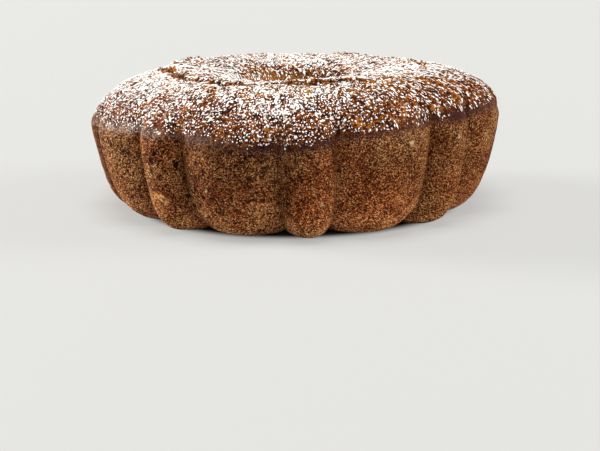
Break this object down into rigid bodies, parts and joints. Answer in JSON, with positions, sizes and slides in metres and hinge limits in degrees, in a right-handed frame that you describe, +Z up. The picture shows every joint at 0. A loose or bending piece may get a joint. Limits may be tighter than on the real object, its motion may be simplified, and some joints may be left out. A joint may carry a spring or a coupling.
{
  "type": "fluted ring cake",
  "caption": "Uncut fluted ring quick bread, stood as it baked: browned domed top dusted with icing sugar, scalloped wall, round hole through the middle.",
  "frame": {"origin": "middle of the ring, on the plane it rests on", "axes": "+Z up through the hole, -Y towards the viewer, +X to the viewer's right; the shoulder is a little higher towards +X"},
  "size_m": [0.2436, 0.2436, 0.0839],
  "materials": {
    "crust": "matte",
    "icing_sugar": "matte"
  },
  "bodies": {
    "root": {"fluted_ring_cake": "crust"}
  },
  "joints": []
}
